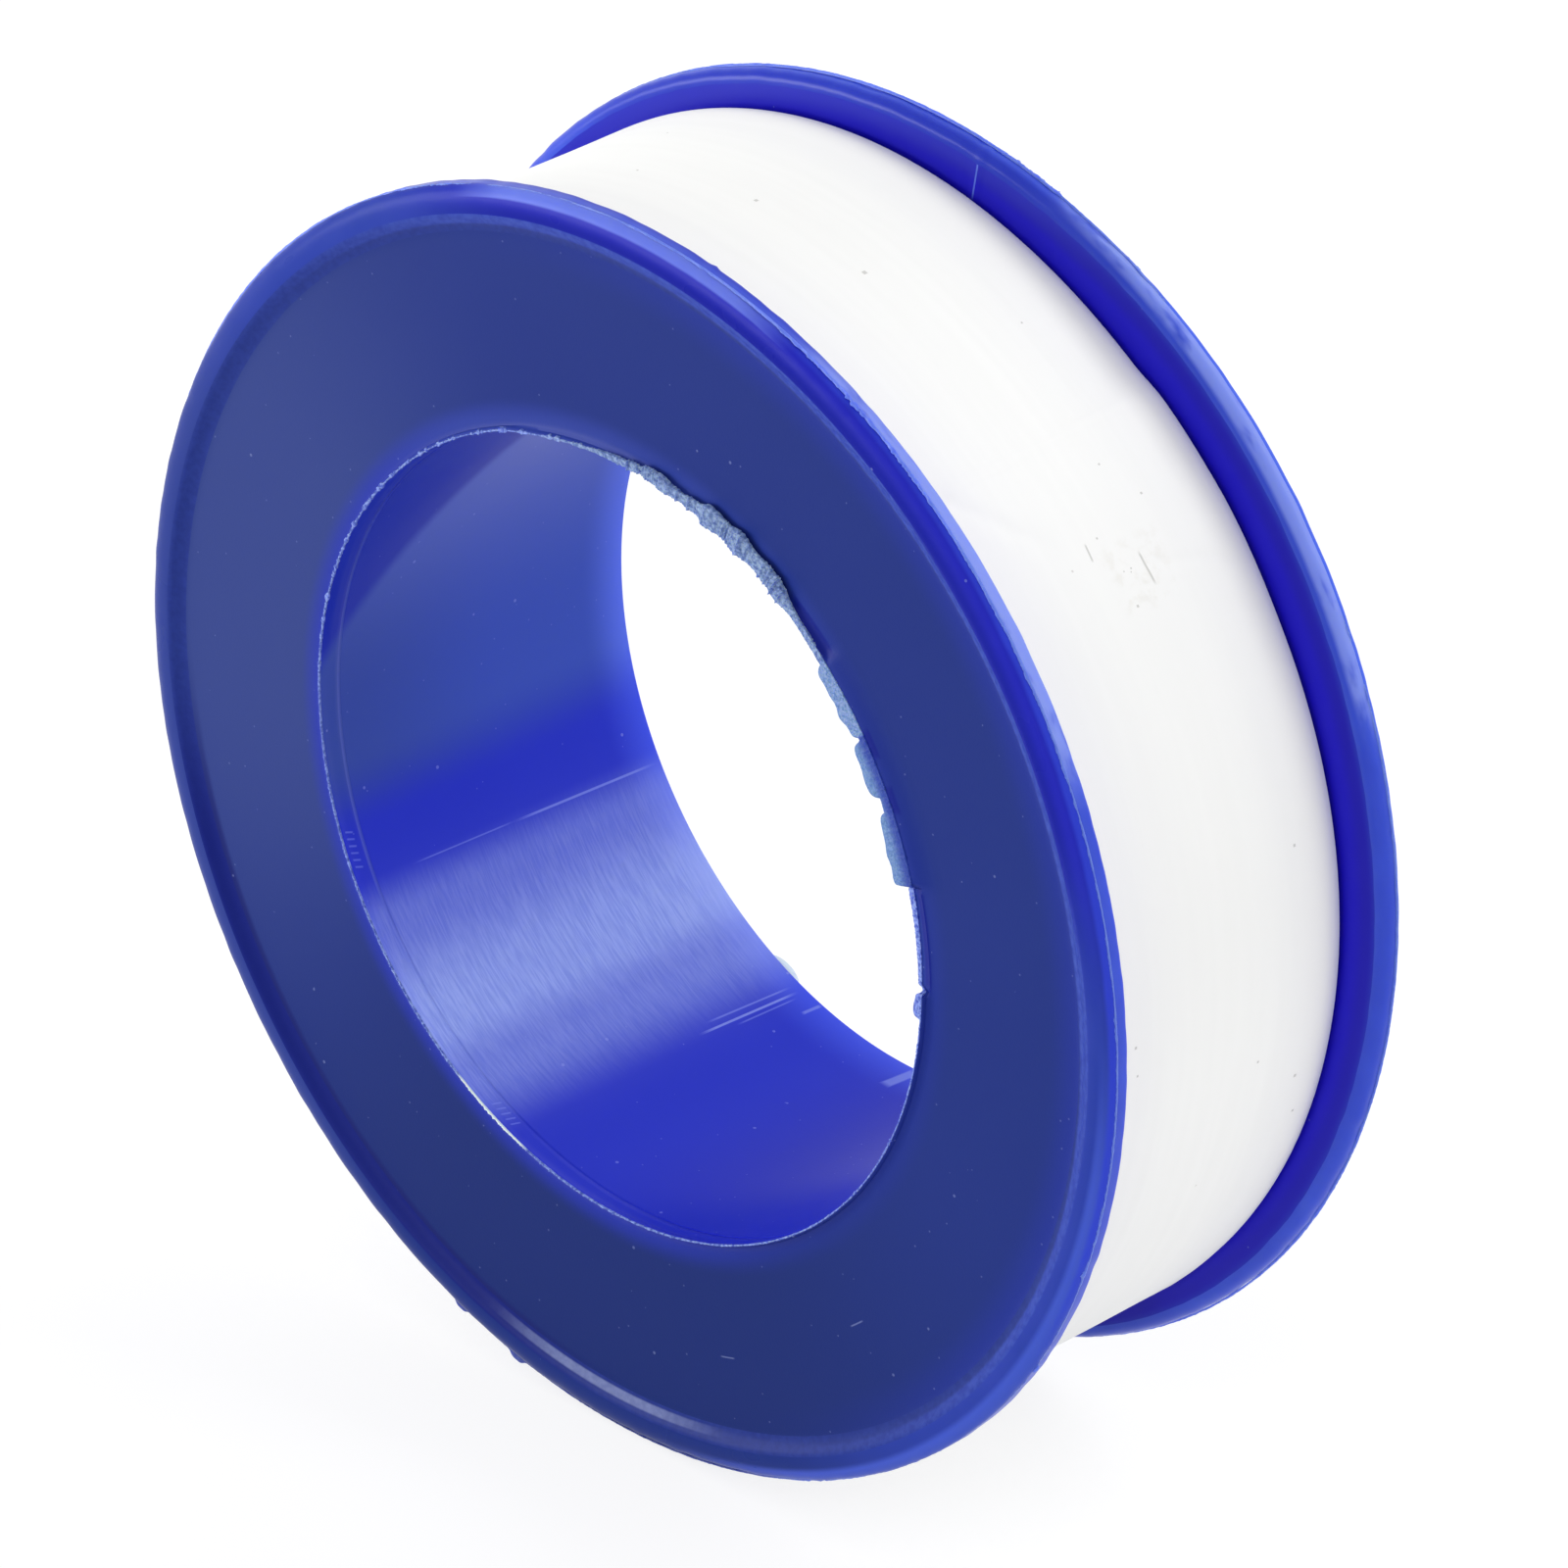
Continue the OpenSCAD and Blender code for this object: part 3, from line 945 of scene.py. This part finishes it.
# Height of the loose stretches: at the tip, at the top and under the free end
END_SLACK = 1.4
TOP_SLACK = 1.5
UNDER_SLACK = 0.4

# Soft ridges and creases, as (first end, second end, width, height), each end (angle, y)
FOLDS = [
    ((53.6, 6.2), (53.0, -5.8), 0.35, 0.08), ((53.5, -7.3), (45.0, -2.9), 0.5, -0.05),
    ((39.4, 2.7), (37.2, 7.2), 0.3, -0.05), ((17.5, 0.1), (-8.0, 0.1), 0.12, 0.015),
    ((24.5, -4.3), (11.5, -4.2), 0.12, 0.015),
]
# Height of the swollen stretch by the film's rear edge, and of the wave in the film
SWELL_H = 0.26
WAVE_H = 0.02
# How close the film's points lie over its shoulders, from 0 for even steps to 1
CROWDING = 0.82
# The torn end: slant over half the width, and size of its ragged edge, in degrees
TEAR_DEG = 7
RAG_DEG = 0.175


def slack(back):
    """Height of the film over the tight turns, back degrees from its tip."""
    return (
        END_SLACK * np.maximum(0, 1 - np.maximum(back, 0) / SLACK_END)
        + TOP_SLACK * (1 - smooth(0, 1, np.abs(back - TOP_MID) / TOP_HALF))
        + UNDER_SLACK * smooth(*UNDER_RISE, back) * (1 - smooth(*UNDER_FALL, back))
    )


def fold(angle, across, first, second, width, height):
    """A soft ridge from first to second, each (angle, y)."""
    mm_per_degree = math.radians(1) * FILM_R
    start = np.array([first[0] * mm_per_degree, first[1]])
    run = np.array([second[0] * mm_per_degree, second[1]]) - start
    length = np.hypot(*run)
    u = angle * mm_per_degree - start[0]
    v = across - start[1]
    share = (u * run[0] + v * run[1]) / length ** 2
    side = (u * run[1] - v * run[0]) / length
    fade = smooth(-0.25, 0.15, share) * (1 - smooth(0.85, 1.25, share))
    return height * fade * np.exp(-(side / width) ** 2)


def film_radius(back, across):
    """Outer radius of the film, back degrees from its tip and across mm from its middle."""
    angle = TIP_ANGLE + back
    visible = back < VISIBLE_END
    over = np.maximum(0, np.abs(across) - (TAPE_HALF - EDGE_RUN)) / EDGE_RUN
    flare = visible * np.clip((FLARE_START - angle) / FLARE_RUN, 0, 1)
    radius = FILM_R + slack(back) - EDGE_DROP * (1 - flare) * over ** 2.6
    wrinkles = sum(fold(angle, across, *marks) for marks in FOLDS)
    swollen = smooth(28, 44, angle) * (1 - smooth(52, 57, angle)) * smooth(2, 8, across)
    wave = WAVE_H * np.sin(np.radians(angle * 7.0) + across * 0.3) * np.sin(across * 0.45 + 1.0)
    return radius + visible * (wrinkles + SWELL_H * swollen + wave)


def film_stations(count=64):
    """Places across the film, closer together over its soft shoulders."""
    bend = math.pi / 2 * CROWDING
    return TAPE_HALF * np.sin(np.linspace(-1, 1, count) * bend) / math.sin(bend)


def film_mesh(name, back_rows, across, material):
    """A closed thin shell of film over rows of angles back from the tip, one per station."""
    outer = film_radius(back_rows, across)
    radius = np.concatenate([outer, outer[:, ::-1] - FILM_T], axis=1)
    back = np.concatenate([back_rows, back_rows[:, ::-1]], axis=1)
    y = np.concatenate([across, across[::-1]])
    thing = grid_mesh(name, revolve(radius, y, TIP_ANGLE + back), [material], closed=False)
    close_ends(thing, *back.shape)
    return thing


def close_ends(thing, rows, columns):
    """Fills both open ends of a shell of rows by columns with strips of faces."""
    mesh = bmesh.new()
    mesh.from_mesh(thing.data)
    mesh.verts.ensure_lookup_table()
    for start in (0, (rows - 1) * columns):
        for k in range(columns // 2 - 1):
            ring = [start + k, start + k + 1, start + columns - 2 - k, start + columns - 1 - k]
            mesh.faces.new([mesh.verts[index] for index in ring])
    bmesh.ops.recalc_face_normals(mesh, faces=mesh.faces)
    mesh.to_mesh(thing.data)
    mesh.free()


def outer_wrap(material):
    """The outer turn, from the joint with the lifting end back round under it."""
    fine_end = 190
    fine = np.arange(JOIN_DEG, fine_end, 0.35)
    coarse = np.arange(fine_end, HIDDEN_END + 0.01, 1.0)
    across = film_stations()
    back = np.concatenate([fine, coarse])[:, None] * np.ones(len(across))
    return film_mesh("outer_wrap", back, across, material)


def free_end(material):
    """The lifting end, torn at a slant, with a ragged edge."""
    across = film_stations(96)
    start = TEAR_DEG * across / TAPE_HALF + RAG_DEG * ripple(across * 20, 31, 6, 160, 0.6)
    share = np.linspace(0, 1, 110)[:, None]
    back = start[None, :] * (1 - share) + JOIN_DEG * share
    return film_mesh("free_end", back, across, material)


def wound_turns():
    """The tight turns, with the edges of the film showing as fine steps at both sides."""
    shoulder = 1.4
    bend = CORE_R - shoulder
    radii = np.linspace(HUB_R + 0.05, bend, 40)
    side = [(r, TAPE_HALF - 0.02 - 0.03 * (k % 2)) for k, r in enumerate(radii)]
    half = side + arc(bend, TAPE_HALF - shoulder, shoulder, shoulder, 88, 2, 10)
    rows = [(r, -y) for r, y in half] + [(r, y) for r, y in reversed(half)]
    radius, offset = np.array(rows).T[:, :, None]
    return grid_mesh("wound_turns", revolve(radius, offset, round_turn(WOUND_STEPS)), [wound_material()])


# Camera, floor and light, with lengths in metres

PHOTO_SIZE = 1600
FOCAL_PIXELS = 11752
CAMERA_TURN = 45.18
CAMERA_LIFT = 28.38
CAMERA_DISTANCE = 0.5910
AIM = Vector((0, 0.0003, 0))
# Where the aim shows in the photograph, in its pixels
AIM_PIXEL = (781.45, 787.36)

WORLD_LIGHT = 0.86
FLOOR_HALF = 4.0
FLOOR_GREY = (0.9, 0.9, 0.9, 1)
# Seen directly, the floor is a darker grey and a glow, so that only the roll's shadow shows on it
FLOOR_SEEN_GREY = (0.24, 0.24, 0.24, 1)
FLOOR_GLOW = 0.8
WHITE = (1, 1, 1, 1)


def add_camera():
    """The camera of the photograph."""
    turn, lift = math.radians(CAMERA_TURN), math.radians(CAMERA_LIFT)
    look = Vector((-math.sin(turn) * math.cos(lift), math.cos(turn) * math.cos(lift), -math.sin(lift)))
    right = Vector((math.cos(turn), math.sin(turn), 0))
    up = right.cross(look)
    metres_per_pixel = CAMERA_DISTANCE / FOCAL_PIXELS
    sideways = (PHOTO_SIZE / 2 - AIM_PIXEL[0]) * metres_per_pixel
    upwards = (AIM_PIXEL[1] - PHOTO_SIZE / 2) * metres_per_pixel
    data = bpy.data.cameras.new("photo_camera")
    data.sensor_width = 36
    data.lens = FOCAL_PIXELS / PHOTO_SIZE * data.sensor_width
    data.clip_start = 0.01
    camera = new_object("photo_camera", data)
    place = AIM - look * CAMERA_DISTANCE + right * sideways + up * upwards
    turned = Matrix((right, up, -look)).transposed().to_4x4()
    camera.matrix_world = Matrix.Translation(place) @ turned
    bpy.context.scene.camera = camera


def empty_tree(owner):
    """The node tree of a material or world, emptied."""
    owner.use_nodes = True
    owner.node_tree.nodes.clear()
    return owner.node_tree


def show_either(tree, lit, seen, output):
    """Puts out the lit shader, and the seen one for camera, glossy and transmission rays."""
    path = add(tree, "ShaderNodeLightPath")
    rays = [path.outputs[name] for name in ("Is Camera Ray", "Is Glossy Ray", "Is Transmission Ray")]
    directly = calc("MAXIMUM", calc("MAXIMUM", rays[0], rays[1]), rays[2])
    mixed = add(tree, "ShaderNodeMixShader", {0: directly, 1: lit.outputs[0], 2: seen.outputs[0]})
    add(tree, output, {"Surface": mixed.outputs[0]})


def add_world():
    """Even white light from all round, seen as white."""
    world = bpy.data.worlds.new("studio_world")
    bpy.context.scene.world = world
    tree = empty_tree(world)
    lit = add(tree, "ShaderNodeBackground", {"Color": WHITE, "Strength": WORLD_LIGHT})
    seen = add(tree, "ShaderNodeBackground", {"Color": WHITE, "Strength": 1.0})
    show_either(tree, lit, seen, "ShaderNodeOutputWorld")


def add_floor(height):
    """A wide pale floor that keeps the roll's soft shadow."""
    signs = ((-1, -1), (1, -1), (1, 1), (-1, 1))
    corners = [(x * FLOOR_HALF, y * FLOOR_HALF, height) for x, y in signs]
    mesh = bpy.data.meshes.new("studio_floor")
    mesh.from_pydata(corners, [], [(0, 1, 2, 3)])
    floor = new_object("studio_floor", mesh)
    material = bpy.data.materials.new("studio_floor")
    tree = empty_tree(material)
    matt = add(tree, "ShaderNodeBsdfDiffuse", {"Color": FLOOR_GREY})
    seen_matt = add(tree, "ShaderNodeBsdfDiffuse", {"Color": FLOOR_SEEN_GREY})
    glow = add(tree, "ShaderNodeEmission", {"Color": WHITE, "Strength": FLOOR_GLOW})
    seen = add(tree, "ShaderNodeAddShader", {0: seen_matt.outputs[0], 1: glow.outputs[0]})
    show_either(tree, matt, seen, "ShaderNodeOutputMaterial")
    mesh.materials.append(material)


def add_lamp(name, direction, along, distance, length, width, power):
    """A soft lamp of length by width that shines on the roll, its length lying along, in metres."""
    data = bpy.data.lights.new(name, "AREA")
    data.shape = "RECTANGLE"
    data.size = length
    data.size_y = width
    data.energy = power
    back = Vector(direction).normalized()
    side = Vector(along)
    side = (side - back * side.dot(back)).normalized()
    turned = Matrix((side, back.cross(side), back)).transposed().to_4x4()
    new_object(name, data).matrix_world = Matrix.Translation(back * distance) @ turned


# Putting the pieces together

bpy.context.scene.view_settings.view_transform = "Standard"
add_camera()

moulding = spool()
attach(moulding, "spool")
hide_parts("spool")
flash = flash_material()
trimmed = trimmed_material()
trims = [rim_flash("front_flash", -1, 41, flash), rim_flash("rear_flash", 1, 51, flash)]
trims += [bore_edge(trimmed), rear_drop(trimmed)]
for trim in trims:
    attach(trim, "spool")

turns = wound_turns()
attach(turns, "spool")
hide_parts("tape_core")

film = film_material()
wrap = outer_wrap(film)
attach(wrap, "outer_turn")
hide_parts("outer_turn")
end = free_end(film)
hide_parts("tape_end")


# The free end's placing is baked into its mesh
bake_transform(end)

add_world()
add_lamp(
    "key_lamp", direction=(0.407, 0.62, 0.67), along=(-0.854, 0, 0.52),
    distance=1.0, length=1.2, width=0.3, power=3.6,
)
add_lamp(
    "fill_lamp", direction=(-0.68, -0.73, 0.08), along=(-0.73, 0.68, 0),
    distance=0.4, length=0.3, width=0.14, power=0.9,
)
low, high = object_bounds()
add_floor(low[2])
